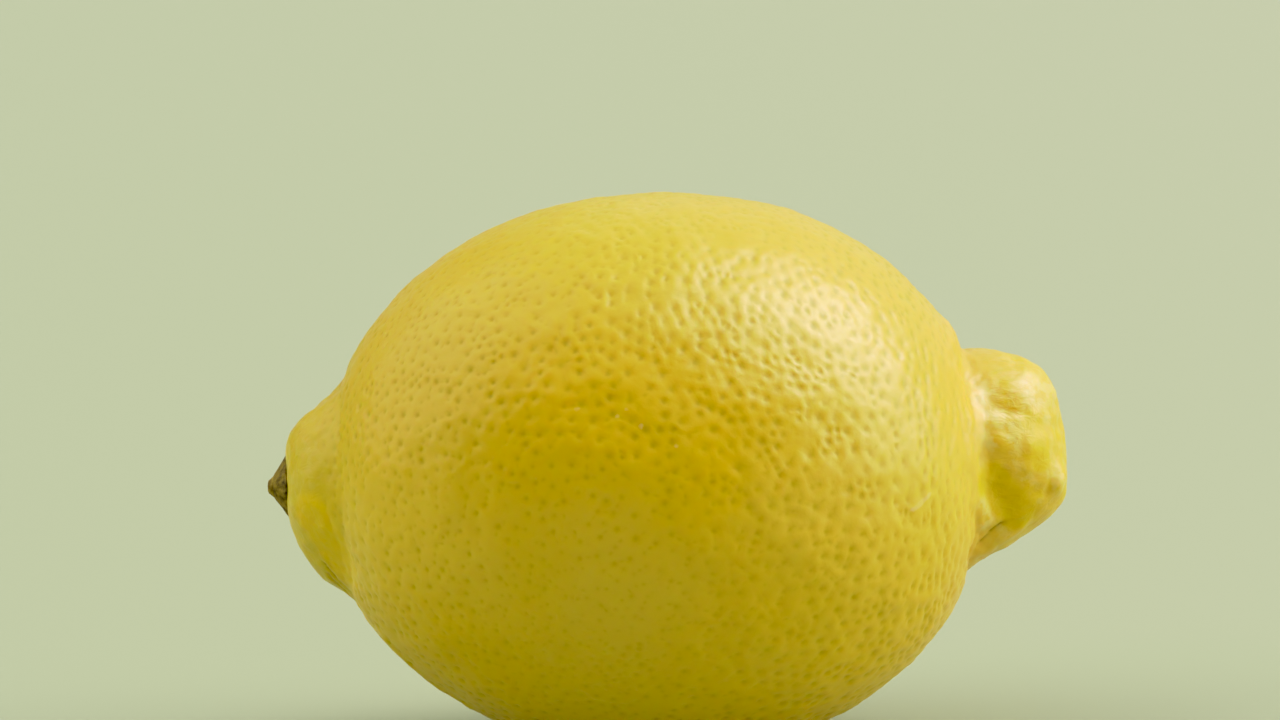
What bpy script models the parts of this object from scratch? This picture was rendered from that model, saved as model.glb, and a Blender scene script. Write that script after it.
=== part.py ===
"""A whole lemon lying on its side, with the dry button still on its stem end.

Metres, +Z up. The origin is the centre of the small flat spot that the lemon
rests on. +X runs along the fruit, from the stem end to the nipple.

The rind is one closed surface around a centre straight above the origin. Three
blunt ovals share that centre: the body, the nose at the stem end and the
nipple. Along each ray from the centre the surface is their smooth maximum,
and a few named lumps and hollows then give the nipple and the nose their shape.
"""

import math

import bmesh
import bpy
import numpy as np
from mathutils import Matrix, Vector

MM = 0.001
OBJECT_NAME = "lemon"

# Body: an oval turned about the long axis, a little fuller than an ellipse.
BODY_RADIUS = 32.6 * MM
BODY_HALF_LENGTH = 38.4 * MM
BODY_FULLNESS = 2.1

# Nose and nipple: blunt caps, square along the fruit and rounder across it.
NOSE_REACH = 42.7 * MM
NOSE_RADIUS = 12.4 * MM
NIPPLE_REACH = 47.0 * MM
NIPPLE_RADIUS = 12.8 * MM
CAP_SQUARE_ALONG = 8.0
CAP_SQUARE_ACROSS = 2.5
NOSE_BLEND = 4.4 * MM
NIPPLE_BLEND = 2.4 * MM
# The nipple sits a little above the long axis.
NIPPLE_LIFT = 1.1 * MM
NIPPLE_LIFT_START = 31.0 * MM
NIPPLE_LIFT_END = 41.0 * MM

# The spot that the lemon rests on is cut this deep into the body.
FLAT_DEPTH = 0.4 * MM
CENTRE_HEIGHT = BODY_RADIUS - FLAT_DEPTH

# Dry button: the five-lobed calyx, and the stub of the stem on it.
NODE_GAP = 0.3 * MM
CALYX_SEAT = 0.3 * MM
BUTTON_HEIGHT = CENTRE_HEIGHT + 0.5 * MM
CALYX_RADIUS = 3.7 * MM
CALYX_NECK_RADIUS = 1.9 * MM
CALYX_THICKNESS = 1.0 * MM
CALYX_LOBES = 5
CALYX_LOBE_DEPTH = 0.14
STUB_BASE_RADIUS = 1.35 * MM
STUB_TIP_RADIUS = 0.9 * MM
STUB_LENGTH = 0.6 * MM
STUB_LEAN = math.radians(8.0)

# Mesh density.
RINGS = 52
RING_SEGMENTS = 44
MERIDIAN_STEPS = 4000

# Lumps (positive) and hollows (negative) on the nipple and the nose:
# name, place along the fruit, turn about the long axis from straight up
# towards the near side, half width, height.
SWELLINGS = (
    ("nipple_top_lobe", 41.8 * MM, 18.0, 5.2 * MM, 1.2 * MM),
    ("nipple_far_lobe", 42.0 * MM, 265.0, 5.0 * MM, 0.8 * MM),
    ("nipple_tip_fold", 46.0 * MM, 145.0, 3.2 * MM, 0.8 * MM),
    ("nipple_near_hollow", 39.2 * MM, 109.0, 3.0 * MM, -1.1 * MM),
    ("nipple_base_fold", 38.0 * MM, 150.0, 2.6 * MM, 0.6 * MM),
    ("nipple_low_slope", 42.5 * MM, 172.0, 4.0 * MM, -0.7 * MM),
    ("nose_top_lump", -40.0 * MM, 30.0, 4.5 * MM, 0.4 * MM),
    ("nose_top_neck", -37.4 * MM, 5.0, 2.2 * MM, -0.7 * MM),
    ("nose_shoulder", -41.6 * MM, 12.0, 2.6 * MM, 0.4 * MM),
    ("nose_near_hollow", -38.0 * MM, 122.0, 4.2 * MM, -0.9 * MM),
    ("nose_low_ridge", -38.0 * MM, 165.0, 3.0 * MM, 0.2 * MM),
    ("nose_low_neck", -34.0 * MM, 180.0, 3.4 * MM, -2.6 * MM),
    ("low_stem_side", -25.0 * MM, 170.0, 10.0 * MM, -1.0 * MM),
)


def blunt_cap(angle, reach, radius):
    """Distance from the centre to a blunt cap, along rays at these angles to +X."""
    along = np.abs(np.cos(angle)) / reach
    across = np.abs(np.sin(angle)) / radius
    low = np.zeros_like(angle)
    high = np.full_like(angle, 2.0 * reach)
    for _ in range(48):
        middle = 0.5 * (low + high)
        level = (along * middle) ** CAP_SQUARE_ALONG + (across * middle) ** CAP_SQUARE_ACROSS
        outside = level > 1.0
        high = np.where(outside, middle, high)
        low = np.where(outside, low, middle)
    return 0.5 * (low + high)


def body_oval(angle):
    """Distance from the centre to the plain body, along rays at these angles to +X."""
    along = (np.abs(np.cos(angle)) / BODY_HALF_LENGTH) ** BODY_FULLNESS
    across = (np.abs(np.sin(angle)) / BODY_RADIUS) ** BODY_FULLNESS
    return (along + across) ** (-1.0 / BODY_FULLNESS)


def smooth_maximum(first, second, blend):
    """The larger of two distances, with the corner between them rounded over."""
    share = np.clip(0.5 + 0.5 * (first - second) / blend, 0.0, 1.0)
    return second + (first - second) * share + blend * share * (1.0 - share)


def meridian(angle):
    """Distance from the centre to the plain rind, along rays at these angles to +X."""
    nose_side = np.clip(-np.cos(angle), 0.0, 1.0)
    nipple_side = np.clip(np.cos(angle), 0.0, 1.0)
    body = body_oval(angle)
    nose = np.where(nose_side > 0.0, blunt_cap(angle, NOSE_REACH, NOSE_RADIUS), 0.0)
    nipple = np.where(nipple_side > 0.0, blunt_cap(angle, NIPPLE_REACH, NIPPLE_RADIUS), 0.0)
    with_nose = smooth_maximum(nose, body, NOSE_BLEND)
    return smooth_maximum(nipple, with_nose, NIPPLE_BLEND)


def even_angles(count):
    """Angles to +X that cut the meridian into equal lengths, from nipple to stem."""
    angle = np.linspace(0.0, math.pi, MERIDIAN_STEPS)
    distance = meridian(angle)
    step_x = np.diff(distance * np.cos(angle))
    step_r = np.diff(distance * np.sin(angle))
    length = np.concatenate(([0.0], np.cumsum(np.hypot(step_x, step_r))))
    return np.interp(np.linspace(0.0, length[-1], count), length, angle)


def nipple_lift(along):
    """How far the nipple is raised at this place along the fruit."""
    span = NIPPLE_LIFT_END - NIPPLE_LIFT_START
    share = max(0.0, min(1.0, (along - NIPPLE_LIFT_START) / span))
    return NIPPLE_LIFT * share * share * (3.0 - 2.0 * share)


def turned_point(along, turn_deg):
    """The point of the plain rind at this place along the fruit and this turn."""
    angle = np.linspace(0.0, math.pi, MERIDIAN_STEPS)
    distance = meridian(angle)
    place = np.argmin(np.abs(distance * np.cos(angle) - along))
    radius = distance[place] * math.sin(angle[place])
    turn = math.radians(turn_deg)
    return Vector((along, -radius * math.sin(turn), radius * math.cos(turn)))


def material(name, colour, roughness, metallic=0.0):
    """A plain Principled material."""
    made = bpy.data.materials.new(name)
    made.use_nodes = True
    shader = made.node_tree.nodes["Principled BSDF"]
    shader.inputs["Base Color"].default_value = (*colour, 1.0)
    shader.inputs["Roughness"].default_value = roughness
    shader.inputs["Metallic"].default_value = metallic
    return made


def finish(mesh_builder, name, made_of, collection):
    """Turn a bmesh into a smooth-shaded named object in the collection."""
    bmesh.ops.recalc_face_normals(mesh_builder, faces=mesh_builder.faces)
    mesh = bpy.data.meshes.new(name)
    mesh_builder.to_mesh(mesh)
    mesh_builder.free()
    mesh.materials.append(made_of)
    mesh.shade_smooth()
    mesh.set_sharp_from_angle(angle=math.radians(40.0))
    made = bpy.data.objects.new(name, mesh)
    collection.objects.link(made)
    return made


def rind(collection):
    """The whole fruit: body, nose, nipple and the flat spot below."""
    shape = bmesh.new()
    bmesh.ops.create_uvsphere(
        shape, u_segments=RING_SEGMENTS, v_segments=RINGS, radius=1.0,
        matrix=Matrix.Rotation(math.pi / 2.0, 4, "Y"),
    )
    ring_angles = even_angles(RINGS + 1)
    ring_steps = np.linspace(0.0, math.pi, RINGS + 1)
    lumps = [(turned_point(along, turn), width, height)
             for _, along, turn, width, height in SWELLINGS]
    for vertex in shape.verts:
        ray = vertex.co.normalized()
        sphere_angle = math.acos(max(-1.0, min(1.0, ray.x)))
        angle = np.interp(sphere_angle, ring_steps, ring_angles)
        around = Vector((0.0, ray.y, ray.z))
        if around.length > 1e-6:
            around.normalize()
        direction = Vector((math.cos(angle), 0.0, 0.0)) + around * math.sin(angle)
        distance = float(meridian(np.array([angle]))[0])
        place = direction * distance
        for centre, width, height in lumps:
            distance += height * math.exp(-((place - centre).length / width) ** 2)
        vertex.co = direction * distance
        vertex.co.z += nipple_lift(vertex.co.x)
    bmesh.ops.translate(shape, vec=(0.0, 0.0, CENTRE_HEIGHT), verts=shape.verts)
    cut = bmesh.ops.bisect_plane(
        shape, geom=shape.verts[:] + shape.edges[:] + shape.faces[:], dist=1e-7,
        plane_co=(0.0, 0.0, 0.0), plane_no=(0.0, 0.0, -1.0), clear_outer=True,
    )
    rim = [piece for piece in cut["geom_cut"] if isinstance(piece, bmesh.types.BMEdge)]
    bmesh.ops.edgeloop_fill(shape, edges=rim)
    bmesh.ops.remove_doubles(shape, verts=shape.verts, dist=0.00002)
    return finish(shape, "fruit", material("rind_yellow", (0.55, 0.36, 0.01), 0.42), collection)


def calyx(collection):
    """The dry five-lobed collar that clasps the stem end."""
    shape = bmesh.new()
    bmesh.ops.create_cone(
        shape, cap_ends=True, segments=CALYX_LOBES * 8, radius1=CALYX_RADIUS,
        radius2=CALYX_NECK_RADIUS, depth=CALYX_THICKNESS,
    )
    for vertex in shape.verts:
        turn = math.atan2(vertex.co.y, vertex.co.x)
        is_rim = vertex.co.z < 0.0
        lobe = CALYX_LOBE_DEPTH if is_rim else 0.3 * CALYX_LOBE_DEPTH
        stretch = 1.0 - lobe * (0.5 - 0.5 * math.cos(CALYX_LOBES * turn))
        vertex.co.x *= stretch
        vertex.co.y *= stretch
    middle = -NOSE_REACH - CALYX_SEAT - 0.5 * CALYX_THICKNESS
    place = Matrix.Translation((middle, 0.0, BUTTON_HEIGHT)) @ Matrix.Rotation(-math.pi / 2.0, 4, "Y")
    bmesh.ops.transform(shape, matrix=place, verts=shape.verts)
    return finish(shape, "calyx", material("calyx_olive", (0.16, 0.12, 0.02), 0.8), collection)


def stem_stub(collection):
    """The broken end of the stem, which stands on the calyx."""
    shape = bmesh.new()
    bmesh.ops.create_cone(
        shape, cap_ends=True, segments=24, radius1=STUB_BASE_RADIUS,
        radius2=STUB_TIP_RADIUS, depth=STUB_LENGTH,
    )
    for vertex in shape.verts:
        if vertex.co.z > 0.0:
            vertex.co.z += vertex.co.x * math.tan(STUB_LEAN)
    middle = -NOSE_REACH - CALYX_SEAT - CALYX_THICKNESS - NODE_GAP - 0.5 * STUB_LENGTH
    place = Matrix.Translation((middle, 0.0, BUTTON_HEIGHT)) @ Matrix.Rotation(-math.pi / 2.0, 4, "Y")
    bmesh.ops.transform(shape, matrix=place, verts=shape.verts)
    return finish(shape, "stem_stub", material("stem_wood", (0.22, 0.15, 0.05), 0.85), collection)


def main():
    """Clear the scene and build the lemon."""
    for leftover in list(bpy.data.objects):
        bpy.data.objects.remove(leftover, do_unlink=True)
    collection = bpy.data.collections.new(OBJECT_NAME)
    bpy.context.scene.collection.children.link(collection)
    rind(collection)
    calyx(collection)
    stem_stub(collection)


main()
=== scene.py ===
"""A ripe lemon on its side: pitted waxy rind, knobbly nipple, dry calyx and stem stub.

Metres, +Z up. The long axis runs along X, with the stem end at -X and the nipple
at +X. The near side faces -Y. Every size is read from the frame's boxes or is a
field of the class that uses it.
"""

import logging
import math
from dataclasses import dataclass
from enum import Enum

import bmesh
import bpy
import numpy as np
from mathutils import Matrix, Vector, kdtree, noise


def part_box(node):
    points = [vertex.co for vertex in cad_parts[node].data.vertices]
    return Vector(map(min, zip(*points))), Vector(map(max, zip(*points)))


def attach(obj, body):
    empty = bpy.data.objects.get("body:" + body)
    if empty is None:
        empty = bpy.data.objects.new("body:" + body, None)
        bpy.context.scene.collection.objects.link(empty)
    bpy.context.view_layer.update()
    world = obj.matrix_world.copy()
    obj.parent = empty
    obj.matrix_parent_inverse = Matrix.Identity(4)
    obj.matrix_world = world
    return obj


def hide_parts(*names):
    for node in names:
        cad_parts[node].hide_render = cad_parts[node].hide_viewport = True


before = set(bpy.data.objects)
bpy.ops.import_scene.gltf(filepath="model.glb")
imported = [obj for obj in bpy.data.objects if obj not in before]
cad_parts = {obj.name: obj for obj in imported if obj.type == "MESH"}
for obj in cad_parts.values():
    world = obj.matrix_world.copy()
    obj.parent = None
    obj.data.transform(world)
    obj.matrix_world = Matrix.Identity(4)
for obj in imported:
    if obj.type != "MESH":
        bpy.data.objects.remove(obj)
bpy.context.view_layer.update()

MM = 0.001
LOG = logging.getLogger("lemon")
Colour = tuple[float, float, float]
Tree = bpy.types.NodeTree
Socket = bpy.types.NodeSocket


class Part(Enum):
    """The pieces of the lemon, with the CAD node and the material slot of each."""

    RIND = ("fruit", "rind")
    CALYX = ("calyx", "calyx")
    STUB = ("stem_stub", "stem")

    @property
    def node(self) -> str:
        """Name of the CAD node that the piece stands for."""
        return self.value[0]

    @property
    def slot(self) -> str:
        """Name of the piece's material slot."""
        return self.value[1]


def settle(piece: bpy.types.Object, part: Part) -> None:
    """Tell the frame what a finished piece stands for and what it rides on.

    Args:
        piece: The finished object, at the origin.
        part: Which piece of the lemon it is.
    """
    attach(piece, "root")
    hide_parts(part.node)
    LOG.info("%s: %d vertices, %d faces", piece.name, len(piece.data.vertices), len(piece.data.polygons))


def make_object(name: str, shape: bmesh.types.BMesh, finish: bpy.types.Material) -> bpy.types.Object:
    """Turn a bmesh into a smooth-shaded object at the origin.

    Args:
        name: Name of the new object.
        shape: The finished bmesh, which is freed.
        finish: The material of the whole piece.

    Returns:
        The linked object.
    """
    mesh = bpy.data.meshes.new(name)
    shape.to_mesh(mesh)
    shape.free()
    mesh.materials.append(finish)
    mesh.shade_smooth()
    made = bpy.data.objects.new(name, mesh)
    bpy.context.scene.collection.objects.link(made)
    return made


def points_of(shape: bmesh.types.BMesh) -> np.ndarray:
    """Positions of a bmesh's vertices, one row each."""
    return np.array([vertex.co[:] for vertex in shape.verts])


def normals_of(shape: bmesh.types.BMesh) -> np.ndarray:
    """Up-to-date normals of a bmesh's vertices, one row each."""
    shape.normal_update()
    return np.array([vertex.normal[:] for vertex in shape.verts])


def place_points(shape: bmesh.types.BMesh, points: np.ndarray) -> None:
    """Move a bmesh's vertices to these positions."""
    for vertex, point in zip(shape.verts, points):
        vertex.co = point


def smooth_step(value: np.ndarray, low: float, high: float) -> np.ndarray:
    """0 below low, 1 above high, and a smooth ramp between."""
    share = np.clip((value - low) / (high - low), 0.0, 1.0)
    return share * share * (3.0 - 2.0 * share)


def smooth_maximum(first: np.ndarray, second: np.ndarray, blend: float) -> np.ndarray:
    """The larger of two distances, with the corner between them rounded over."""
    share = np.clip(0.5 + 0.5 * (first - second) / blend, 0.0, 1.0)
    return second + (first - second) * share + blend * share * (1.0 - share)


class Slope(Enum):
    """How a fold's height falls off to its sides."""

    ROUND = "round"
    SHARP = "sharp"


@dataclass(frozen=True)
class Fold:
    """A lump, hollow, ridge or furrow on the rind, along a chain of places.

    Each place is given in millimetres along the fruit and by its turn about the long
    axis, in degrees from straight up towards the near side. The width and the height
    are in millimetres too. A chain of one place is round. A positive height stands
    out and a negative one is sunk in. A fold that only marks where something goes
    keeps the height of 1.
    """

    name: str
    places: tuple[tuple[float, float], ...]
    width: float
    height: float = 1.0
    slope: Slope = Slope.ROUND

    def profile(self, gap: np.ndarray) -> np.ndarray:
        """The fold's height in metres, at these distances in metres from its chain."""
        share = gap / (self.width * MM)
        if self.slope is Slope.SHARP:
            return self.height * MM / (1.0 + share ** 2) ** 2
        return self.height * MM * np.exp(-(share ** 2))


@dataclass(frozen=True)
class LemonForm:
    """The lemon's plain outer form, as distances along rays from its centre.

    The body, the nose and the nipple are three blunt ovals with one centre, and
    the surface is their smooth maximum.
    """

    body_radius: float
    centre_height: float
    body_half_length: float = 38.4 * MM
    body_fullness: float = 2.1
    nose_reach: float = 42.7 * MM
    nose_radius: float = 12.4 * MM
    nipple_reach: float = 47.0 * MM
    nipple_radius: float = 12.8 * MM
    square_along: float = 8.0
    square_across: float = 2.5
    nose_blend: float = 4.4 * MM
    nipple_blend: float = 2.4 * MM
    nipple_lift: float = 1.1 * MM
    lift_start: float = 31.0 * MM
    lift_end: float = 41.0 * MM
    dense_from: float = 34.0 * MM
    dense_to: float = 38.0 * MM
    denser_by_nipple: float = 0.9
    denser_by_nose: float = 0.5
    table_steps: int = 6000
    halvings: int = 48

    def blunt_cap(self, angle: np.ndarray, reach: float, radius: float) -> np.ndarray:
        """Distance from the centre to a blunt cap, along rays at these angles to +X."""
        along = np.abs(np.cos(angle)) / reach
        across = np.abs(np.sin(angle)) / radius
        low = np.zeros_like(angle)
        high = np.full_like(angle, 2.0 * reach)
        for _ in range(self.halvings):
            middle = 0.5 * (low + high)
            level = (along * middle) ** self.square_along + (across * middle) ** self.square_across
            outside = level > 1.0
            high = np.where(outside, middle, high)
            low = np.where(outside, low, middle)
        return 0.5 * (low + high)

    def body_oval(self, angle: np.ndarray) -> np.ndarray:
        """Distance from the centre to the plain body, along rays at these angles to +X."""
        along = (np.abs(np.cos(angle)) / self.body_half_length) ** self.body_fullness
        across = (np.abs(np.sin(angle)) / self.body_radius) ** self.body_fullness
        return (along + across) ** (-1.0 / self.body_fullness)

    def meridian(self) -> tuple[np.ndarray, np.ndarray]:
        """The turned outline.

        Returns:
            Angles to +X from 0 to a half turn, and the distance to the rind at each.
        """
        angle = np.linspace(0.0, math.pi, self.table_steps)
        to_stem = np.cos(angle) < 0.0
        nose = np.where(to_stem, self.blunt_cap(angle, self.nose_reach, self.nose_radius), 0.0)
        nipple = np.where(to_stem, 0.0, self.blunt_cap(angle, self.nipple_reach, self.nipple_radius))
        with_nose = smooth_maximum(nose, self.body_oval(angle), self.nose_blend)
        return angle, smooth_maximum(nipple, with_nose, self.nipple_blend)

    def angle_of_share(self) -> tuple[np.ndarray, np.ndarray]:
        """How the rind's area adds up from the nipple's tip to the stem end.

        Returns:
            The share of the whole area passed, and the angle to +X where it is passed.
        """
        angle, distance = self.meridian()
        across = distance * np.sin(angle)
        step = np.hypot(np.diff(distance * np.cos(angle)), np.diff(across))
        along = (distance * np.cos(angle))[1:]
        by_nipple = smooth_step(along, self.dense_from, self.dense_to)
        by_nose = smooth_step(-along, self.dense_from, self.dense_to)
        dense = 1.0 + self.denser_by_nipple * by_nipple + self.denser_by_nose * by_nose
        ring = step * 0.5 * (across[1:] + across[:-1]) * dense
        area = np.concatenate(([0.0], np.cumsum(ring)))
        return area / area[-1], angle

    def lift(self, along: np.ndarray) -> np.ndarray:
        """How far the nipple is raised at these places along the fruit."""
        return self.nipple_lift * smooth_step(along, self.lift_start, self.lift_end)

    def on_rind(self, points: np.ndarray) -> np.ndarray:
        """Points moved along their rays from the centre onto the plain rind."""
        centre = np.array([0.0, 0.0, self.centre_height])
        ray = points - centre
        ray[:, 2] -= self.lift(points[:, 0])
        ray /= np.linalg.norm(ray, axis=1, keepdims=True)
        angle, distance = self.meridian()
        reach = np.interp(np.arccos(np.clip(ray[:, 0], -1.0, 1.0)), angle, distance)
        placed = centre + ray * reach[:, None]
        placed[:, 2] += self.lift(placed[:, 0])
        return placed

    def spot(self, along: float, turn: float) -> np.ndarray:
        """The point of the plain rind at this place along the fruit and this turn."""
        angle, distance = self.meridian()
        place = int(np.argmin(np.abs(distance * np.cos(angle) - along)))
        radius = distance[place] * math.sin(angle[place])
        around = math.radians(turn)
        height = self.centre_height + radius * math.cos(around) + float(self.lift(np.array([along]))[0])
        return np.array([along, -radius * math.sin(around), height])

    def gap_to_chain(self, points: np.ndarray, places: tuple[tuple[float, float], ...]) -> np.ndarray:
        """Distance from each point to a chain of places on the plain rind.

        Args:
            points: The points, one row each.
            places: The chain's places, along the fruit in millimetres and by turn in degrees.

        Returns:
            One distance for each point, in metres.
        """
        stops = [self.spot(along * MM, turn) for along, turn in places]
        if len(stops) == 1:
            return np.linalg.norm(points - stops[0], axis=1)
        gap = np.full(len(points), np.inf)
        for start, end in zip(stops, stops[1:]):
            run = end - start
            share = np.clip((points - start) @ run / (run @ run), 0.0, 1.0)
            gap = np.minimum(gap, np.linalg.norm(points - start - share[:, None] * run, axis=1))
        return gap


@dataclass(frozen=True)
class RindFinish:
    """Colours and gloss of the rind, in linear light."""

    ridge: Colour = (0.69, 0.497, 0.032)
    pit: Colour = (0.57, 0.405, 0.001)
    warm: Colour = (0.69, 0.485, 0.014)
    # Pale milky tone: random blotches on the smooth skin, and also the colour of the painted highlights and
    # sheen.
    milky_and_highlight: Colour = (0.76, 0.600, 0.150)
    # Deep yellow: random blotches on the smooth skin, and also the colour of the painted glow in the shaded
    # hollows.
    deep_and_glow: Colour = (0.71, 0.510, 0.001)
    green: Colour = (0.50, 0.44, 0.010)
    blush: Colour = (0.77, 0.512, 0.060)
    scar: Colour = (0.76, 0.56, 0.24)
    # Painted shade: dark colour laid along the bottoms of the sharp creases.
    painted_crease_shade: Colour = (0.42, 0.26, 0.002)
    roughness: float = 0.38
    pit_roughness: float = 0.50
    smooth_roughness: float = 0.42
    grain_roughness: float = 0.12
    subsurface: float = 1.0
    subsurface_radius: tuple[float, float, float] = (1.0, 0.55, 0.10)
    subsurface_scale: float = 1.1 * MM
    specular: float = 0.50
    coat: float = 0.08
    coat_roughness: float = 0.17
    mottle_scales: tuple[float, float] = (45.0, 1400.0)
    blotch_scales: tuple[float, float] = (650.0, 330.0)


@dataclass(frozen=True)
class DryFinish:
    """Colours of the dry calyx or stub, in linear light."""

    name: str
    light: Colour
    dark: Colour
    roughness: float
    streaks: float


def node(tree: Tree, kind: str, **settings: object) -> bpy.types.Node:
    """Add a node and set its properties.

    Args:
        tree: The node tree to add to.
        kind: The node's type name.
        **settings: Properties of the node and their values.

    Returns:
        The new node.
    """
    made = tree.nodes.new(kind)
    for key, value in settings.items():
        setattr(made, key, value)
    return made


def wire(tree: Tree, source: Socket, target: Socket) -> None:
    """Join two sockets."""
    tree.links.new(source, target)


def ramp(
    tree: Tree, source: Socket, low: float, high: float,
    to_low: float = 0.0, to_high: float = 1.0,
) -> Socket:
    """Map a value's range smoothly onto another range.

    Args:
        tree: The node tree.
        source: The value to map.
        low: Value that gives to_low.
        high: Value that gives to_high.
        to_low: Lowest result.
        to_high: Highest result.

    Returns:
        The mapped value.
    """
    made = node(tree, "ShaderNodeMapRange", interpolation_type="SMOOTHSTEP")
    wire(tree, source, made.inputs["Value"])
    made.inputs["From Min"].default_value = low
    made.inputs["From Max"].default_value = high
    made.inputs["To Min"].default_value = to_low
    made.inputs["To Max"].default_value = to_high
    return made.outputs["Result"]


def blend_colour(tree: Tree, share: Socket, first: Socket | Colour, second: Socket | Colour) -> Socket:
    """Mix two colours by a share, where each may be a socket or a constant.

    Args:
        tree: The node tree.
        share: 0 gives the first colour and 1 the second.
        first: The first colour.
        second: The second colour.

    Returns:
        The mixed colour.
    """
    made = node(tree, "ShaderNodeMix", data_type="RGBA")
    wire(tree, share, made.inputs["Factor"])
    for name, colour in (("A", first), ("B", second)):
        socket = next(s for s in made.inputs if s.name == name and s.type == "RGBA")
        if isinstance(colour, tuple):
            socket.default_value = (*colour, 1.0)
        else:
            wire(tree, colour, socket)
    return next(s for s in made.outputs if s.type == "RGBA")


def arithmetic(tree: Tree, operation: str, first: Socket | float, second: Socket | float) -> Socket:
    """Combine two values with a Math node.

    Args:
        tree: The node tree.
        operation: The Math node's operation.
        first: The first value.
        second: The second value.

    Returns:
        The result.
    """
    made = node(tree, "ShaderNodeMath", operation=operation)
    for socket, value in zip(made.inputs, (first, second)):
        if isinstance(value, (int, float)):
            socket.default_value = value
        else:
            wire(tree, value, socket)
    return made.outputs[0]


def attribute(tree: Tree, name: str) -> Socket:
    """The value of a vertex attribute."""
    return node(tree, "ShaderNodeAttribute", attribute_name=name).outputs["Fac"]


def mottle_group() -> Tree:
    """A node group of soft patches: a mask of broad ones and a mask of fine grain.

    Returns:
        The group, with the inputs Patch Scale and Grain Scale.
    """
    name = "mottle"
    if name in bpy.data.node_groups:
        return bpy.data.node_groups[name]
    tree = bpy.data.node_groups.new(name, "ShaderNodeTree")
    for label, scale in (("Patch Scale", 60.0), ("Grain Scale", 900.0)):
        socket = tree.interface.new_socket(label, in_out="INPUT", socket_type="NodeSocketFloat")
        socket.default_value = scale
    tree.interface.new_socket("Patches", in_out="OUTPUT", socket_type="NodeSocketFloat")
    tree.interface.new_socket("Grain", in_out="OUTPUT", socket_type="NodeSocketFloat")
    inputs = node(tree, "NodeGroupInput")
    outputs = node(tree, "NodeGroupOutput")
    place = node(tree, "ShaderNodeTexCoord").outputs["Object"]
    for label, result, detail in (("Patch Scale", "Patches", 3.0), ("Grain Scale", "Grain", 2.0)):
        clouds = node(tree, "ShaderNodeTexNoise")
        clouds.inputs["Detail"].default_value = detail
        wire(tree, place, clouds.inputs["Vector"])
        wire(tree, inputs.outputs[label], clouds.inputs["Scale"])
        wire(tree, clouds.outputs["Fac"], outputs.inputs[result])
    return tree


def add_mottle(tree: Tree, patch_scale: float, grain_scale: float) -> bpy.types.Node:
    """Place the mottle group in a material with its own scales."""
    made = node(tree, "ShaderNodeGroup", node_tree=mottle_group())
    made.inputs["Patch Scale"].default_value = patch_scale
    made.inputs["Grain Scale"].default_value = grain_scale
    return made


def new_material(name: str) -> tuple[bpy.types.Material, Tree, bpy.types.Node]:
    """Start a material.

    Args:
        name: Name of the material.

    Returns:
        The material, its node tree and its Principled shader.
    """
    made = bpy.data.materials.new(name)
    made.use_nodes = True
    tree = made.node_tree
    return made, tree, tree.nodes["Principled BSDF"]


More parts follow.
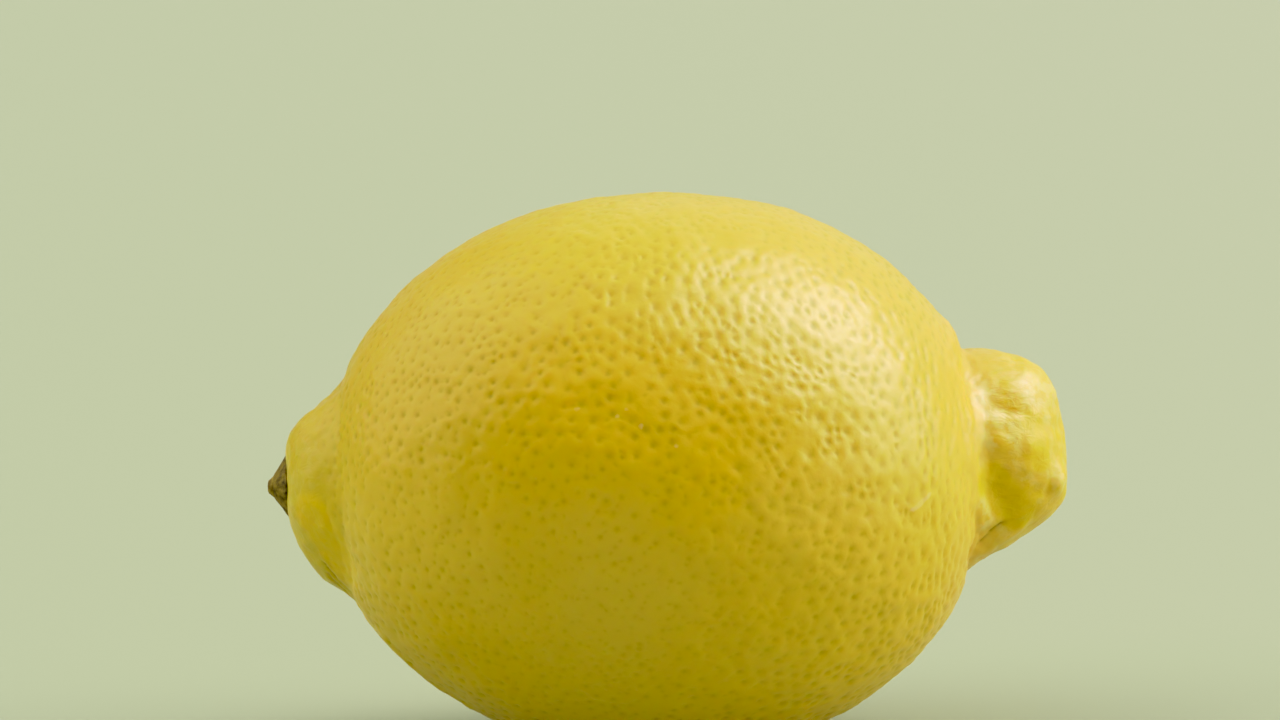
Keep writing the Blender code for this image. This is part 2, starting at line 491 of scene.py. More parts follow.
@dataclass
class Rind:
    """The whole fruit's skin: body, nose and nipple with every oil gland's pit."""

    form: LemonForm
    finish: RindFinish = RindFinish()
    seed: int = 11
    gland_rows: int = 24
    jitter: float = 0.36
    settle_rounds: int = 5
    settle_steps: int = 3
    pit_depth: float = 0.20 * MM
    pit_radius: float = 1.12 * MM
    bowl: float = 1.1
    pore_part: float = 0.45
    pore_size: float = 0.50
    stretch: float = 0.5
    faint_on_top: float = 0.45
    faint_when_calm: float = 0.42
    fine_until: float = -30.0 * MM
    coarse_from: float = 12.0 * MM
    fine_depth: float = 0.85
    fine_radius: float = 0.80
    weak_share: float = 0.15
    small_pit_gap: float = 0.72 * MM
    small_pit_share: float = 0.40
    small_pit_radius: float = 0.50 * MM
    swell: float = 0.16 * MM
    swell_size: float = 5.0 * MM
    rumple: float = 0.10 * MM
    rumple_size: float = 1.5 * MM
    grain_height: float = 0.05 * MM
    wrinkle_height: float = 0.16 * MM
    lumps: tuple[Fold, ...] = (
        Fold("nipple_top_lobe", ((41.8, 18.0),), 5.2, 1.2),
        Fold("nipple_far_lobe", ((42.0, 265.0),), 5.0, 0.8),
        Fold("nipple_tip_fold", ((46.0, 145.0),), 3.2, 0.8),
        Fold("nipple_near_hollow", ((39.2, 109.0),), 3.0, -1.1),
        Fold("nipple_base_fold", ((38.0, 150.0),), 2.6, 0.6),
        Fold("nipple_low_slope", ((42.5, 172.0),), 4.0, -0.7),
        Fold("nose_top_lump", ((-40.0, 30.0),), 4.5, 0.4),
        Fold("nose_top_neck", ((-37.4, 5.0),), 2.2, -0.7),
        Fold("nose_near_hollow", ((-38.0, 122.0),), 4.2, -0.9),
        Fold("nose_low_ridge", ((-38.0, 165.0),), 3.0, 0.2),
        Fold("nose_low_neck", ((-34.0, 180.0),), 3.4, -2.6),
        Fold("low_stem_side", ((-25.0, 170.0),), 10.0, -1.0),
    )
    furrows: tuple[Fold, ...] = (
        Fold("top_corner", ((16.6, 2.0),), 4.0, 0.30),
        Fold("neck_top", ((35.6, -40.0), (35.7, -20.0), (35.7, 0.0), (35.6, 20.0), (35.4, 40.0)), 0.9, -0.45),
        Fold("neck_low", ((35.2, 135.0), (35.2, 155.0), (35.2, 175.0), (35.4, 195.0)), 0.8, -0.50),
        Fold("rim_above_neck", ((34.2, 5.0), (34.3, 25.0)), 1.1, 0.30),
        Fold("top_flap", ((40.2, 0.0), (40.6, 14.0), (40.4, 26.0)), 0.7, -0.22),
        Fold("lobe_right", ((42.7, 42.0), (44.6, 38.0)), 2.4, 0.35),
        Fold("valley", ((37.0, 46.0), (37.8, 53.0), (38.9, 58.0), (40.2, 61.0), (41.8, 63.0)), 0.80, -0.18),
        Fold("bump_near_neck", ((36.9, 50.0),), 1.0, 0.20),
        Fold("bump_middle", ((38.3, 66.0),), 0.85, 0.22),
        Fold("bump_low", ((38.7, 77.0),), 1.2, 0.34),
        Fold("bump_right", ((44.2, 60.0),), 0.8, 0.14),
        Fold("tip_notch", ((43.6, 68.0), (45.2, 66.0), (46.3, 60.0)), 0.9, -0.20),
        Fold("dark_hollow", ((37.0, 88.0), (38.6, 101.0), (39.6, 116.0), (39.8, 127.0)), 1.5, -0.20),
        Fold("near_fold", ((36.7, 112.0), (36.9, 121.0)), 1.5, 0.50),
        Fold("near_neck_slope", ((35.7, 66.0), (35.6, 84.0), (35.7, 102.0)), 1.6, 0.45),
        Fold("low_crease", ((36.1, 137.0), (37.7, 132.5), (39.2, 130.0)), 0.32, -0.42, Slope.SHARP),
        Fold("low_strip", ((36.6, 145.0), (38.6, 141.0), (41.0, 140.0)), 0.9, 0.30),
        Fold("end_lobe", ((45.3, 112.0),), 1.9, 0.85),
        Fold("end_crease", ((45.7, 90.0), (45.2, 98.0), (44.6, 107.0), (44.0, 118.0)), 0.60, -0.20),
        Fold("end_scar", ((47.0, 0.0),), 1.3, -0.70),
        Fold("far_crease", ((36.5, 205.0), (40.0, 215.0), (44.5, 210.0)), 0.6, -0.55, Slope.SHARP),
        Fold("far_valley", ((38.0, 300.0), (41.0, 305.0), (45.0, 315.0)), 1.2, -0.55),
        Fold("far_fold", ((37.5, 240.0), (42.0, 245.0)), 1.3, 0.40),
        Fold("nose_line_inner", ((-39.0, 141.0), (-37.2, 148.0), (-35.2, 153.0), (-33.4, 153.0)), 0.28, -0.28,
             Slope.SHARP),
        Fold("nose_line_outer", ((-38.4, 149.0), (-36.6, 156.0), (-34.8, 160.0)), 0.28, -0.25, Slope.SHARP),
        Fold("nose_shoulder", ((-41.6, 12.0),), 2.6, 0.40),
        Fold("slope_line_a", ((-35.0, 152.0), (-31.0, 156.0), (-26.0, 163.0)), 0.35, -0.30, Slope.SHARP),
        Fold("slope_line_b", ((-33.0, 162.0), (-28.0, 166.0), (-22.0, 171.0)), 0.35, -0.22, Slope.SHARP),
        Fold("slope_ridge", ((-32.0, 148.0), (-28.0, 154.0), (-23.0, 158.0)), 0.9, 0.30),
        Fold("nose_far_crease", ((-40.0, 230.0), (-37.0, 236.0), (-34.5, 240.0)), 0.5, -0.40, Slope.SHARP),
        Fold("nose_far_fold", ((-39.0, 285.0), (-36.0, 290.0)), 1.6, 0.45),
    )
    marks: tuple[Fold, ...] = (
        Fold("rub_right", ((27.9, 96.0), (28.9, 94.6), (30.0, 92.6)), 0.40, 0.10),
        Fold("speck_a", ((-8.4, 69.3),), 0.36, 0.04),
        Fold("speck_b", ((-4.1, 71.2),), 0.36, 0.04),
        Fold("speck_c", ((-2.9, 70.3),), 0.34, 0.04),
        Fold("speck_d", ((-1.5, 73.5),), 0.40, 0.04),
        Fold("speck_e", ((2.2, 77.5),), 0.36, 0.04),
    )
    calm: tuple[Fold, ...] = (
        Fold("calm_side", ((-8.0, 112.0), (6.0, 108.0)), 15.0),
    )
    # Painted glow: where a brighter, deeper yellow is laid into the shaded hollows of the nipple and the
    # nose.
    painted_glows: tuple[Fold, ...] = (
        Fold("nipple_glow", ((38.0, 99.0), (39.2, 108.0), (40.4, 118.0), (41.0, 127.0)), 2.4),
        Fold("nipple_side_glow", ((42.6, 66.0), (43.6, 80.0), (43.6, 92.0)), 1.6),
        Fold("nose_glow", ((-39.6, 104.0), (-38.2, 116.0), (-36.4, 128.0)), 3.5),
    )
    # Painted highlights: where pale colour is laid on the nipple's lit lumps, and a painted sheen band along
    # the low slope by the stem end.
    painted_highlights: tuple[Fold, ...] = (
        Fold("painted_highlight_neck", ((37.3, 49.0),), 1.5),
        Fold("painted_highlight_middle", ((38.0, 65.0), (39.7, 68.0)), 1.2),
        Fold("painted_highlight_low", ((38.0, 76.0), (39.8, 79.0)), 1.5),
        Fold("painted_highlight_right", ((42.6, 44.0), (44.6, 37.0)), 2.3),
        Fold("painted_highlight_tip", ((44.4, 59.0),), 1.1),
        Fold("painted_highlight_fold", ((36.8, 112.0), (37.0, 122.0)), 1.3),
        Fold("painted_highlight_end", ((45.4, 112.0),), 1.4),
        Fold("painted_sheen_slope", ((-35.0, 155.0), (-30.0, 158.0), (-23.0, 164.0)), 1.2),
    )

    def build(self) -> bpy.types.Object:
        """Make the rind's mesh, with its pits, and dress it."""
        shape = bmesh.new()
        bmesh.ops.create_icosphere(shape, subdivisions=1, radius=1.0)
        bmesh.ops.subdivide_edges(shape, edges=shape.edges[:], cuts=self.gland_rows - 1, use_grid_fill=True)
        self.scatter_sites(shape)
        sites = points_of(shape)
        bmesh.ops.subdivide_edges(shape, edges=shape.edges[:], cuts=3, use_grid_fill=True)
        plain = self.form.on_rind(points_of(shape))
        points = self.add_lumps(plain)
        place_points(shape, points)
        points = points + normals_of(shape) * self.furrow_height(plain)[:, None]
        place_points(shape, points)
        smooth = self.smooth_skin(plain)
        pits, depth = self.pit_field(sites, plain, smooth)
        points = points + normals_of(shape) * (self.rolling(plain, smooth) - depth)[:, None]
        points[:, 2] = np.maximum(points[:, 2], 0.0)
        place_points(shape, points)
        made = make_object("lemon_rind", shape, self.material())
        # Three of these masks carry painted light: shade in the creases, a glow in the hollows and highlights
        # on the nipple's lumps.
        masks = {
            "pit": pits, "smooth_skin": smooth, "painted_crease_shade": self.painted_crease_shade_mask(plain),
            "mark": self.mask_of(self.marks, plain), "painted_glow": self.mask_of(self.painted_glows, plain),
            "painted_highlight": self.mask_of(self.painted_highlights, plain),
        }
        for name, values in masks.items():
            layer = made.data.attributes.new(name, "FLOAT", "POINT")
            layer.data.foreach_set("value", values.astype(np.float32))
        settle(made, Part.RIND)
        return made

    def scatter_sites(self, shape: bmesh.types.BMesh) -> None:
        """Spread a sphere's vertices over the rind as uneven, well spaced gland sites.

        Args:
            shape: A sphere of vertices, changed in place.
        """
        draw = np.random.default_rng(self.seed)
        ball = points_of(shape)
        ball /= np.linalg.norm(ball, axis=1, keepdims=True)
        spacing = math.sqrt(4.0 * math.pi / len(ball))
        ball += draw.normal(0.0, self.jitter * spacing, ball.shape)
        ball /= np.linalg.norm(ball, axis=1, keepdims=True)
        share, angle = self.form.angle_of_share()
        turned = np.interp(0.5 * (1.0 - ball[:, 0]), share, angle)
        across = np.linalg.norm(ball[:, 1:], axis=1, keepdims=True)
        around = ball[:, 1:] / np.maximum(across, 1e-9)
        points = np.column_stack((np.cos(turned), np.sin(turned)[:, None] * around)) * self.form.body_radius
        points[:, 2] += self.form.centre_height
        place_points(shape, self.form.on_rind(points))
        for _ in range(self.settle_rounds):
            bmesh.ops.beautify_fill(shape, faces=shape.faces[:], edges=shape.edges[:], method="ANGLE")
            for _ in range(self.settle_steps):
                bmesh.ops.smooth_vert(
                    shape, verts=shape.verts[:], factor=0.35,
                    use_axis_x=True, use_axis_y=True, use_axis_z=True,
                )
            place_points(shape, self.form.on_rind(points_of(shape)))

    def add_lumps(self, points: np.ndarray) -> np.ndarray:
        """Points of the plain rind pushed out or in along their rays by the lumps."""
        centre = np.array([0.0, 0.0, self.form.centre_height])
        ray = points - centre
        distance = np.linalg.norm(ray, axis=1)
        growth = np.zeros(len(points))
        for lump in self.lumps:
            growth += lump.profile(self.form.gap_to_chain(points, lump.places))
        return centre + ray * ((distance + growth) / distance)[:, None]

    def furrow_height(self, points: np.ndarray) -> np.ndarray:
        """Height of the fine ridges and furrows at points of the plain rind."""
        height = np.zeros(len(points))
        for furrow in self.furrows + self.marks:
            height += furrow.profile(self.form.gap_to_chain(points, furrow.places))
        return height

    def mask_of(self, folds: tuple[Fold, ...], points: np.ndarray) -> np.ndarray:
        """1 along these folds' chains, 0 away from them."""
        mask = np.zeros(len(points))
        for fold in folds:
            profile = fold.profile(self.form.gap_to_chain(points, fold.places))
            mask = np.maximum(mask, profile / (fold.height * MM))
        return mask

    def painted_crease_shade_mask(self, points: np.ndarray) -> np.ndarray:
        """Where painted shade goes: 1 at the bottom of the sharp furrows, 0 away from them."""
        mask = np.zeros(len(points))
        for furrow in self.furrows:
            if furrow.slope is Slope.SHARP and furrow.height < 0.0:
                profile = furrow.profile(self.form.gap_to_chain(points, furrow.places))
                mask = np.maximum(mask, (profile / (furrow.height * MM)) ** 2)
        return mask

    def smooth_skin(self, points: np.ndarray) -> np.ndarray:
        """1 where the skin has nearly no pits, on the nipple and the nose, else 0."""
        nipple = smooth_step(points[:, 0], 35.8 * MM, 39.5 * MM)
        nose = 0.7 * smooth_step(-points[:, 0], 35.0 * MM, 40.0 * MM)
        return np.maximum(nipple, nose)

    def pit_field(
        self, sites: np.ndarray, points: np.ndarray, smooth: np.ndarray,
    ) -> tuple[np.ndarray, np.ndarray]:
        """How deep each point of the plain rind lies in the pits around it.

        Args:
            sites: Where the main glands are.
            points: The points of the plain rind.
            smooth: 1 where the skin has nearly no pits.

        Returns:
            A mask, 1 at a gland's centre and 0 between glands, and the depth in metres.
        """
        draw = np.random.default_rng(self.seed + 1)
        weak = draw.random(len(sites)) < self.weak_share
        strength = np.where(weak, draw.uniform(0.1, 0.5, len(sites)), draw.uniform(0.7, 1.15, len(sites)))
        radius = self.pit_radius * draw.uniform(0.72, 1.12, len(sites))
        coarse = smooth_step(sites[:, 0], self.fine_until, self.coarse_from)
        strength *= self.fine_depth + (1.0 - self.fine_depth) * coarse
        radius *= self.fine_radius + (1.0 - self.fine_radius) * coarse
        height = (sites[:, 2] - self.form.centre_height) / self.form.body_radius
        strength *= 1.0 - self.faint_on_top * smooth_step(height, 0.68, 0.97)
        strength *= 1.0 - self.faint_when_calm * self.mask_of(self.calm, sites)
        small = self.small_sites(sites, points, draw)
        centres = np.vstack((sites, points[small]))
        strength = np.concatenate((strength, draw.uniform(0.25, 0.6, len(small))))
        radius = np.concatenate((radius, self.small_pit_radius * draw.uniform(0.8, 1.2, len(small))))
        tree = self.search_tree(centres)
        near = np.array([[index for _, index, _ in tree.find_n(Vector(point), 5)] for point in points])
        gap = self.stretched_gap(points[:, None, :] - centres[near], centres[near])
        share = gap / radius[near]
        bowls = strength[near] * (1.0 - np.clip(share, 0.0, 1.0) ** 2) ** self.bowl
        pores = strength[near] * (1.0 - np.clip(share / self.pore_size, 0.0, 1.0) ** 2) ** 2
        mask = (1.0 - self.pore_part) * bowls.max(axis=1) + self.pore_part * pores.max(axis=1)
        mask *= 1.0 - 0.9 * smooth
        return np.clip(mask, 0.0, 1.0), mask * self.pit_depth

    def stretched_gap(self, offset: np.ndarray, centre: np.ndarray) -> np.ndarray:
        """Distance from a pit's centre, for pits that lengthen around the fruit.

        Args:
            offset: Vectors from the pits' centres.
            centre: The pits' centres.

        Returns:
            The distances, less for offsets around the fruit where the pits are long.
        """
        up = (centre[..., 2] - self.form.centre_height) / self.form.body_radius
        by_neck = smooth_step(centre[..., 0], 22.0 * MM, 32.0 * MM)
        on_top = smooth_step(up, 0.35, 0.75) * smooth_step(centre[..., 0], -14.0 * MM, 6.0 * MM)
        long = self.stretch * np.maximum(by_neck, 0.8 * on_top)
        around = np.stack((-(centre[..., 2] - self.form.centre_height), centre[..., 1]), axis=-1)
        around /= np.linalg.norm(around, axis=-1, keepdims=True)
        sideways = (offset[..., 1:] * around).sum(axis=-1)
        onward = np.sqrt(np.maximum((offset ** 2).sum(axis=-1) - sideways ** 2, 0.0))
        return np.hypot(sideways * (1.0 - 0.9 * long), onward * (1.0 + 0.9 * long))

    def search_tree(self, centres: np.ndarray) -> kdtree.KDTree:
        """A search tree of points, in their own order."""
        tree = kdtree.KDTree(len(centres))
        for index, centre in enumerate(centres):
            tree.insert(Vector(centre), index)
        tree.balance()
        return tree

    def small_sites(self, sites: np.ndarray, points: np.ndarray, draw: np.random.Generator) -> list[int]:
        """Pick points between the main glands that hold a small gland of their own."""
        tree = self.search_tree(sites)
        order = draw.permutation(len(points))
        chance = draw.random(len(points))
        open_points = [
            int(index) for index in order
            if chance[index] < self.small_pit_share
            and tree.find(Vector(points[index]))[2] > self.small_pit_gap
        ]
        taken = self.search_tree(points[open_points])
        keep: list[int] = []
        closed: set[int] = set()
        for rank, index in enumerate(open_points):
            if rank in closed:
                continue
            keep.append(index)
            close_by = taken.find_range(Vector(points[index]), 1.9 * self.small_pit_gap)
            closed.update(near for _, near, _ in close_by)
        return keep

    def rolling(self, points: np.ndarray, smooth: np.ndarray) -> np.ndarray:
        """Soft unevenness of the skin between the pits, in metres."""
        size = 1.0 / self.swell_size
        broad = np.array([noise.noise(Vector(point) * size) for point in points])
        aside = Vector((7.0, 3.0, 1.0))
        fine = np.array([noise.noise(Vector(point) * size * 2.7 + aside) for point in points])
        small = np.array([noise.noise(Vector(point) / self.rumple_size) for point in points])
        return self.swell * (broad + 0.5 * fine) * (1.0 + 0.5 * smooth) + self.rumple * small * smooth

    def material(self) -> bpy.types.Material:
        """Waxy yellow skin: paler ridges, deeper yellow in the pits."""
        finish = self.finish
        made, tree, shader = new_material("lemon_rind")
        mottle = add_mottle(tree, *finish.mottle_scales)
        pit = ramp(tree, attribute(tree, "pit"), 0.10, 0.95)
        smooth = attribute(tree, "smooth_skin")
        wire(tree, self.skin_colour(tree, mottle, pit, smooth), shader.inputs["Base Color"])
        wire(tree, self.skin_roughness(tree, mottle, pit, smooth), shader.inputs["Roughness"])
        wire(tree, self.skin_relief(tree, mottle, smooth), shader.inputs["Normal"])
        shader.inputs["Subsurface Weight"].default_value = finish.subsurface
        shader.inputs["Subsurface Radius"].default_value = finish.subsurface_radius
        shader.inputs["Subsurface Scale"].default_value = finish.subsurface_scale
        shader.inputs["Specular IOR Level"].default_value = finish.specular
        shader.inputs["Coat Weight"].default_value = finish.coat
        shader.inputs["Coat Roughness"].default_value = finish.coat_roughness
        return made

    def skin_colour(self, tree: Tree, mottle: bpy.types.Node, pit: Socket, smooth: Socket) -> Socket:
        """The skin's colour, laid on in coats, with painted highlights, a painted glow and painted crease
        shade.

        Args:
            tree: The node tree.
            mottle: The skin's mottle group.
            pit: 1 in the pits.
            smooth: 1 where the skin has nearly no pits.

        Returns:
            The colour.
        """
        finish = self.finish
        split = node(tree, "ShaderNodeSeparateXYZ")
        wire(tree, node(tree, "ShaderNodeTexCoord").outputs["Object"], split.inputs[0])
        along = split.outputs["X"]
        blotch = add_mottle(tree, *finish.blotch_scales)
        patches = blotch.outputs["Patches"]
        neck_end = ramp(tree, along, 29.5 * MM, 36.0 * MM, 0.0, 0.75)
        # Mask of the painted highlights on the nipple's lumps and the painted sheen on the low slope.
        painted_highlight = ramp(tree, attribute(tree, "painted_highlight"), 0.15, 0.8)
        coats = (
            (pit, finish.pit),
            (arithmetic(tree, "MULTIPLY", neck_end, ramp(tree, smooth, 0.0, 1.0, 1.0, 0.35)), finish.blush),
            (self.patchy(tree, blotch.outputs["Grain"], smooth, 0.47, 0.8), finish.deep_and_glow),
            (self.patchy(tree, patches, smooth, 0.47, 0.5), finish.milky_and_highlight),
            (ramp(tree, along, -28.0 * MM, -42.0 * MM, 0.0, 0.45), finish.green),
            # Painted glow: a brighter, deeper yellow laid into the shaded hollows.
            (ramp(tree, attribute(tree, "painted_glow"), 0.25, 0.6, 0.0, 0.95), finish.deep_and_glow),
            # Painted highlights: pale patches on the lit lumps, and a painted sheen band on the low slope.
            (self.patchy(tree, patches, painted_highlight, 0.38, 1.0), finish.milky_and_highlight),
            (ramp(tree, attribute(tree, "mark"), 0.35, 0.9, 0.0, 0.6), finish.scar),
            # Painted shade along the bottoms of the sharp creases.
            (ramp(tree, attribute(tree, "painted_crease_shade"), 0.2, 1.0, 0.0, 0.8), finish.painted_crease_shade),
        )
        warm = ramp(tree, mottle.outputs["Patches"], 0.42, 0.66)
        skin = blend_colour(tree, warm, finish.ridge, finish.warm)
        for share, colour in coats:
            skin = blend_colour(tree, share, skin, colour)
        return skin

    def skin_roughness(self, tree: Tree, mottle: bpy.types.Node, pit: Socket, smooth: Socket) -> Socket:
        """The skin's roughness: duller in the pits, with a fine grain.

        Args:
            tree: The node tree.
            mottle: The skin's mottle group.
            pit: 1 in the pits.
            smooth: 1 where the skin has nearly no pits.

        Returns:
            The roughness.
        """
        finish = self.finish
        rough = ramp(tree, smooth, 0.0, 1.0, finish.roughness, finish.smooth_roughness)
        duller = ramp(tree, pit, 0.0, 1.0, 0.0, finish.pit_roughness - finish.roughness)
        rough = arithmetic(tree, "ADD", rough, duller)
        grain = arithmetic(tree, "MULTIPLY_ADD", mottle.outputs["Grain"], finish.grain_roughness)
        grain.node.inputs[2].default_value = -0.5 * finish.grain_roughness
        return arithmetic(tree, "ADD", rough, grain)

    def skin_relief(self, tree: Tree, mottle: bpy.types.Node, smooth: Socket) -> Socket:
        """The finest relief: grain everywhere, and wrinkles on the smooth skin.

        Args:
            tree: The node tree.
            mottle: The skin's mottle group.
            smooth: 1 where the skin has nearly no pits.

        Returns:
            The normal.
        """
        bump = node(tree, "ShaderNodeBump")
        bump.inputs["Strength"].default_value = 0.25
        bump.inputs["Distance"].default_value = self.grain_height
        wire(tree, mottle.outputs["Grain"], bump.inputs["Height"])
        wrinkle = node(tree, "ShaderNodeBump")
        wrinkle.inputs["Distance"].default_value = self.wrinkle_height
        wire(tree, self.wrinkles(tree, smooth), wrinkle.inputs["Height"])
        wire(tree, bump.outputs["Normal"], wrinkle.inputs["Normal"])
        return wrinkle.outputs["Normal"]

    def patchy(self, tree: Tree, clouds: Socket, where: Socket, level: float, most: float) -> Socket:
        """Soft blotches inside a mask, where the clouds pass this level.

        Args:
            tree: The node tree.
            clouds: The noise that shapes the blotches.
            where: The mask that they stay in.
            level: Noise value where they start.
            most: Strength of the strongest blotch.

        Returns:
            The mask of the blotches.
        """
        return arithmetic(tree, "MULTIPLY", ramp(tree, clouds, level, level + 0.16, 0.0, most), where)

    def wrinkles(self, tree: Tree, smooth: Socket) -> Socket:
        """Fine wrinkles that run along the fruit, only where the skin is smooth.

        Args:
            tree: The node tree.
            smooth: 1 where the skin has nearly no pits.

        Returns:
            The wrinkles' height.
        """
        squeeze = node(tree, "ShaderNodeMapping")
        squeeze.inputs["Scale"].default_value = (0.45, 1.0, 1.0)
        wire(tree, node(tree, "ShaderNodeTexCoord").outputs["Object"], squeeze.inputs["Vector"])
        clouds = node(tree, "ShaderNodeTexNoise")
        clouds.inputs["Scale"].default_value = 900.0
        clouds.inputs["Detail"].default_value = 3.0
        clouds.inputs["Distortion"].default_value = 0.6
        wire(tree, squeeze.outputs["Vector"], clouds.inputs["Vector"])
        return arithmetic(tree, "MULTIPLY", clouds.outputs["Fac"], smooth)


def dry_material(finish: DryFinish) -> bpy.types.Material:
    """Dry, streaked plant matter.

    Args:
        finish: Its colours and roughness.

    Returns:
        The material.
    """
    made, tree, shader = new_material(finish.name)
    mottle = add_mottle(tree, 900.0, finish.streaks)
    share = ramp(tree, mottle.outputs["Patches"], 0.35, 0.65)
    share = arithmetic(tree, "MULTIPLY", share, ramp(tree, mottle.outputs["Grain"], 0.3, 0.6, 0.5, 1.0))
    wire(tree, blend_colour(tree, share, finish.light, finish.dark), shader.inputs["Base Color"])
    shader.inputs["Roughness"].default_value = finish.roughness
    bump = node(tree, "ShaderNodeBump")
    bump.inputs["Strength"].default_value = 0.6
    bump.inputs["Distance"].default_value = 0.08 * MM
    wire(tree, mottle.outputs["Grain"], bump.inputs["Height"])
    wire(tree, bump.outputs["Normal"], shader.inputs["Normal"])
    return made


@dataclass
class Button:
    """The dry button: a five-lobed calyx that clasps the stem end, and the stub on it."""

    base: float
    tip: float
    height: float
    rim_radius: float
    lobes: int = 5
    lobe_depth: float = 0.16
    turns: int = 120
    seed: int = 5
    calyx_finish: DryFinish = DryFinish(
        "dry_calyx", (0.26, 0.185, 0.018), (0.045, 0.026, 0.003), 0.70, 5200.0
    )
    stub_finish: DryFinish = DryFinish(
        "dry_stem", (0.36, 0.27, 0.035), (0.14, 0.085, 0.010), 0.80, 6500.0
    )

    def turned(self, profile: list[tuple[float, float]], steps: int) -> bmesh.types.BMesh:
        """Spin a closed profile of (radius, height) points into a solid about +Z.

        Args:
            profile: The outline, from the axis above to the axis below.
            steps: How many steps a full turn takes.

        Returns:
            The turned solid.
        """
        shape = bmesh.new()
        chain = [shape.verts.new((radius, 0.0, height)) for radius, height in profile]
        edges = [shape.edges.new(pair) for pair in zip(chain, chain[1:])]
        bmesh.ops.spin(
            shape, geom=chain + edges, axis=(0.0, 0.0, 1.0), cent=(0.0, 0.0, 0.0), dvec=(0.0, 0.0, 0.0),
            angle=2.0 * math.pi, space=Matrix.Identity(4), steps=steps, use_merge=True,
        )
        bmesh.ops.remove_doubles(shape, verts=shape.verts[:], dist=0.002 * MM)
        bmesh.ops.recalc_face_normals(shape, faces=shape.faces[:])
        return shape

    def stand(self, shape: bmesh.types.BMesh, base: float) -> None:
        """Turn a solid about +Z so that it points along -X, and move its base there."""
        turn = Matrix.Rotation(-math.pi / 2.0, 4, "Y")
        bmesh.ops.transform(
            shape, matrix=Matrix.Translation((base, 0.0, self.height)) @ turn, verts=shape.verts[:]
        )

    def calyx(self) -> bpy.types.Object:
        """The collar of dry sepals, with its ribs and torn rim."""
        rim = self.rim_radius
        top = 0.72 * (self.base - self.tip)
        profile = [(0.0, top), (0.34 * rim, top), (0.42 * rim, 0.92 * top), (0.54 * rim, 0.74 * top)]
        profile += [(0.70 * rim, 0.50 * top), (0.86 * rim, 0.31 * top), (0.97 * rim, 0.17 * top)]
        profile += [(1.0 * rim, 0.10 * top), (0.98 * rim, 0.02 * top), (0.80 * rim, -0.04 * top)]
        profile += [(0.4 * rim, -0.1 * top), (0.0, -0.1 * top)]
        shape = self.turned(profile, self.turns)
        for vertex in shape.verts:
            radius = math.hypot(vertex.co.x, vertex.co.y)
            turn = math.atan2(vertex.co.y, vertex.co.x)
            share = min(1.0, radius / rim) ** 2
            dent = self.lobe_depth * share * (0.5 - 0.5 * math.cos(self.lobes * turn + 0.6)) ** 2
            rib = 0.025 * share * math.sin(23.0 * turn + 2.0 * math.sin(3.0 * turn))
            vertex.co.x *= 1.0 - dent + rib
            vertex.co.y *= 1.0 - dent + rib
            rough = noise.noise(Vector((math.cos(turn) * 3.0, math.sin(turn) * 3.0, radius / MM)))
            vertex.co.z += 0.16 * MM * rough * share + 0.05 * MM * math.sin(29.0 * turn) * share
        self.stand(shape, self.base)
        made = make_object("lemon_calyx", shape, dry_material(self.calyx_finish))
        settle(made, Part.CALYX)
        return made

    def stub(self) -> bpy.types.Object:
        """The broken end of the stem on the calyx."""
        length = self.base - self.tip
        low = 0.5 * length
        wide = 0.37 * self.rim_radius
        profile = [(0.0, length), (0.35 * wide, 0.99 * length), (0.56 * wide, 0.94 * length)]
        profile += [(0.74 * wide, 0.84 * length), (0.94 * wide, 0.72 * length), (wide, low), (0.0, low)]
        shape = self.turned(profile, 48)
        for vertex in shape.verts:
            vertex.co.x += 0.10 * MM * noise.noise(vertex.co * 2200.0)
            vertex.co.y += 0.10 * MM * noise.noise(vertex.co * 2200.0 + Vector((3.0, 5.0, 7.0)))
            vertex.co.z += 0.10 * MM * noise.noise(vertex.co * 3000.0 + Vector((9.0, 1.0, 4.0)))
        self.stand(shape, self.base)
        made = make_object("lemon_stem_stub", shape, dry_material(self.stub_finish))
        settle(made, Part.STUB)
        return made


WARM: Colour = (1.0, 0.96, 0.92)
SUNNY: Colour = (1.0, 0.887, 0.84)


class Reach(Enum):
    """What a light does: it lights everything, only fills the shade, or only gives gloss."""

    ALL = "all"
    FILL = "fill"
    GLOSS = "gloss"


@dataclass(frozen=True)
class SoftLight:
    """A broad even light that comes from one direction, given from the lemon."""

    name: str
    towards: tuple[float, float, float]
    spread: float
    power: float
    reach: Reach = Reach.ALL
    colour: Colour = (1.0, 1.0, 1.0)


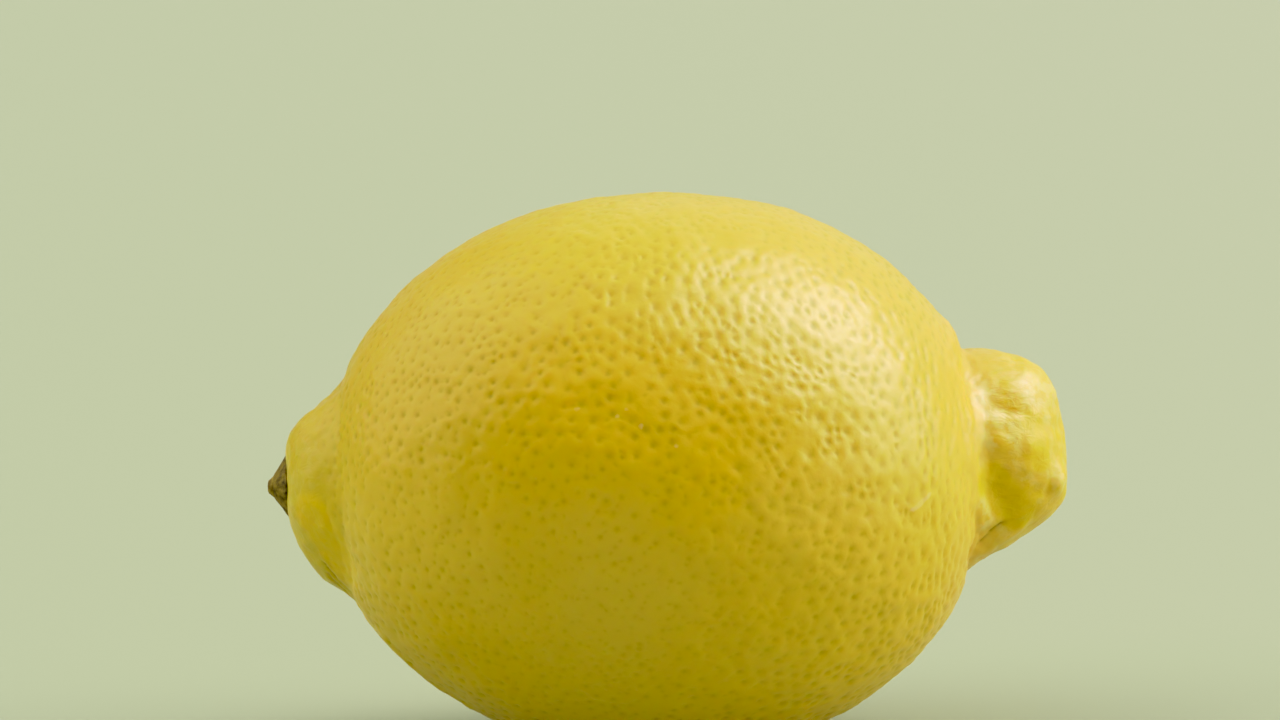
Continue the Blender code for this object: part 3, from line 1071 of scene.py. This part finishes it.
@dataclass
class Studio:
    """The pale floor, the soft lamps and the camera."""

    target: Vector
    floor_size: float = 60.0
    floor_colour: Colour = (0.375, 0.44, 0.29)
    backdrop_colour: Colour = (0.61, 0.665, 0.468)
    world_colour: Colour = (0.95, 1.0, 0.90)
    world_strength: float = 0.38
    pale_side: tuple[float, float, float] = (0.5, 0.85, 0.0)
    lens: float = 120.0
    frame_width: float = 148.0 * MM
    elevation: float = 7.0
    roll: float = -2.7
    aim_left: float = 2.0 * MM
    aim_above: float = 13.3 * MM
    lights: tuple[SoftLight, ...] = (
        SoftLight("key_right", (0.60, 0.06, 0.79), 30.0, 1.15, Reach.ALL, SUNNY),
        SoftLight("window", (0.54, -0.05, 0.84), 50.0, 2.30, Reach.GLOSS),
        SoftLight("near_top", (0.18, -0.50, 0.84), 90.0, 0.97, Reach.FILL, SUNNY),
        SoftLight("near_front", (0.20, -0.94, 0.28), 90.0, 0.20, Reach.FILL, (0.45, 1.0, 0.4)),
        SoftLight("side_right", (0.82, -0.05, 0.56), 40.0, 1.12, Reach.ALL, (1.0, 0.93, 0.90)),
        SoftLight("low_right", (0.98, -0.16, 0.17), 50.0, 1.62, Reach.ALL, (1.0, 0.97, 0.90)),
        SoftLight("side_left", (-0.76, 0.08, 0.62), 70.0, 1.10, Reach.ALL, WARM),
        SoftLight("low_left", (-0.97, -0.02, 0.24), 90.0, 1.45, Reach.FILL, (0.98, 1.0, 0.85)),
        SoftLight("top_left", (-0.30, 0.05, 0.95), 70.0, 0.28, Reach.ALL, SUNNY),
        SoftLight("near_sheen", (0.12, -0.45, 0.86), 80.0, 0.30, Reach.GLOSS),
        SoftLight("far_rim", (0.40, 0.68, 0.60), 60.0, 0.42, Reach.GLOSS),
    )

    def build(self) -> None:
        """Set up everything that isn't the lemon."""
        self.floor()
        self.world()
        for light in self.lights:
            self.lamp(light)
        self.camera()

    def floor(self) -> None:
        """A large plain floor at the lemon's resting height."""
        shape = bmesh.new()
        bmesh.ops.create_grid(shape, x_segments=1, y_segments=1, size=0.5 * self.floor_size)
        made, _, shader = new_material("pale_floor")
        shader.inputs["Base Color"].default_value = (*self.floor_colour, 1.0)
        shader.inputs["Roughness"].default_value = 0.7
        make_object("floor", shape, made)

    def world(self) -> None:
        """A surround that is pale behind the lemon, and shows as a plain pale backdrop."""
        made = bpy.data.worlds.new("surround")
        made.use_nodes = True
        tree = made.node_tree
        light = tree.nodes["Background"]
        light.inputs["Color"].default_value = (*self.world_colour, 1.0)
        facing = node(tree, "ShaderNodeVectorMath", operation="DOT_PRODUCT")
        wire(tree, node(tree, "ShaderNodeTexCoord").outputs["Generated"], facing.inputs[0])
        facing.inputs[1].default_value = self.pale_side
        strength = ramp(tree, facing.outputs["Value"], 0.0, 0.7, 0.0, self.world_strength)
        wire(tree, strength, light.inputs["Strength"])
        backdrop = node(tree, "ShaderNodeBackground")
        backdrop.inputs["Color"].default_value = (*self.backdrop_colour, 1.0)
        either = node(tree, "ShaderNodeMixShader")
        wire(tree, node(tree, "ShaderNodeLightPath").outputs["Is Camera Ray"], either.inputs[0])
        wire(tree, light.outputs[0], either.inputs[1])
        wire(tree, backdrop.outputs[0], either.inputs[2])
        wire(tree, either.outputs[0], tree.nodes["World Output"].inputs["Surface"])
        bpy.context.scene.world = made

    def lamp(self, light: SoftLight) -> None:
        """Set up one broad even light."""
        data = bpy.data.lights.new(light.name, "SUN")
        data.angle = math.radians(light.spread)
        data.energy = light.power
        data.color = light.colour
        made = bpy.data.objects.new(light.name, data)
        away = Vector(light.towards).normalized()
        made.location = self.target + away
        made.rotation_euler = away.to_track_quat("Z", "Y").to_euler()
        made.visible_glossy = light.reach is not Reach.FILL
        made.visible_diffuse = light.reach is not Reach.GLOSS
        bpy.context.scene.collection.objects.link(made)

    def camera(self) -> None:
        """A long lens a little above the lemon, turned slightly about its axis."""
        data = bpy.data.cameras.new("camera")
        data.lens = self.lens
        made = bpy.data.objects.new("camera", data)
        rise = math.radians(self.elevation)
        back = Vector((0.0, -math.cos(rise), math.sin(rise)))
        up = Vector((0.0, math.sin(rise), math.cos(rise)))
        distance = self.frame_width * self.lens / data.sensor_width
        place = self.target + back * distance
        turned = Matrix.Rotation(math.radians(self.roll), 3, back)
        aim = self.target + turned @ (up * self.aim_above - Vector((self.aim_left, 0.0, 0.0)))
        look = (aim - place).to_track_quat("-Z", "Y").to_matrix().to_4x4()
        roll = Matrix.Rotation(math.radians(self.roll), 4, "Z")
        made.matrix_world = Matrix.Translation(place) @ look @ roll
        bpy.context.scene.collection.objects.link(made)
        bpy.context.scene.camera = made


def grade(black_level: float, shoulder: float, slope: float) -> None:
    """Deepen the blacks a little and ease the brightest tones, as a camera does.

    Args:
        black_level: Linear light that becomes black.
        shoulder: Linear light above which tones are eased.
        slope: How fast tones rise above the shoulder.
    """
    view = bpy.context.scene.view_settings
    view.view_transform = "Standard"
    view.use_curve_mapping = True
    curves = view.curve_mapping
    curves.black_level = (black_level, black_level, black_level)
    curves.use_clip = False
    curves.extend = "EXTRAPOLATED"
    tone = curves.curves[3]
    tone.points[0].handle_type = "VECTOR"
    tone.points[1].handle_type = "VECTOR"
    tone.points[1].location = (1.0, shoulder + slope * (1.0 - shoulder))
    tone.points.new(shoulder, shoulder).handle_type = "VECTOR"
    curves.update()


def main() -> None:
    """Build the lemon around the frame, then the studio."""
    logging.basicConfig(level=logging.INFO, format="%(name)s: %(message)s")
    low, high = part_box("fruit")
    radius = 0.5 * (high[1] - low[1])
    centre_height = high[2] - radius
    Rind(LemonForm(radius, centre_height)).build()
    calyx_low, calyx_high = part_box("calyx")
    stub_low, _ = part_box("stem_stub")
    button = Button(
        base=low[0] + 0.25 * MM, tip=stub_low[0], height=0.5 * (calyx_low[2] + calyx_high[2]),
        rim_radius=0.5 * (calyx_high[2] - calyx_low[2]) * 1.05,
    )
    button.calyx()
    button.stub()
    Studio(Vector((0.0, 0.0, centre_height))).build()
    grade(black_level=0.020, shoulder=0.60, slope=0.50)


if __name__ == "__main__":
    main()
